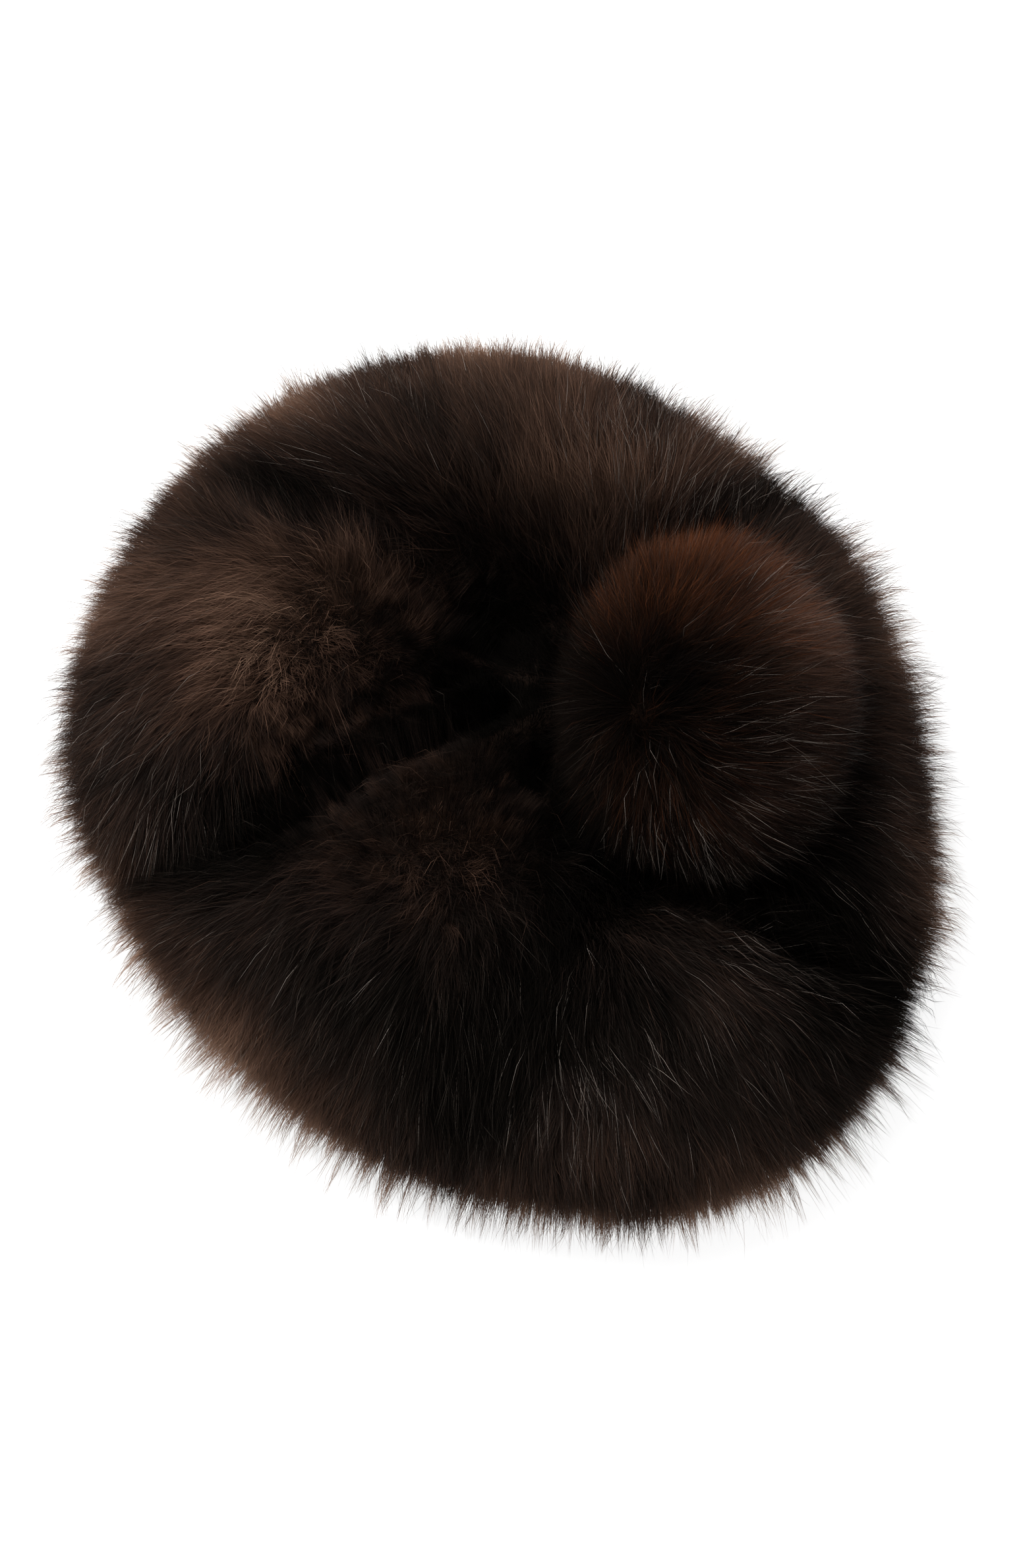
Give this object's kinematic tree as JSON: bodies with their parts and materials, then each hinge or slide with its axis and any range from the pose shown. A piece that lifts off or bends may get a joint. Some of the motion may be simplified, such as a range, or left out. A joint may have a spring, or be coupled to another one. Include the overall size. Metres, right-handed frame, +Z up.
{
  "type": "fur beret",
  "caption": "Soft round beret of deep dark brown fur with a large fur pompom on the crown, hollow and open below for the head, lying on its underside.",
  "frame": {"origin": "on the surface the beret lies on, under the middle of its overall box", "axes": "+Z up, front of the beret towards -Y, the pompom lies over towards +X"},
  "size_m": [0.2864, 0.2968, 0.122],
  "materials": {
    "crown_fur": "deep dark brown fur with lighter woolly patches and scattered silvery guard hairs",
    "pompom_fur": "dark brown fur, rust brown at the back left, with silvery guard hairs at the front"
  },
  "bodies": {
    "root": {"crown": "crown_fur", "pompom": "pompom_fur"}
  },
  "joints": []
}
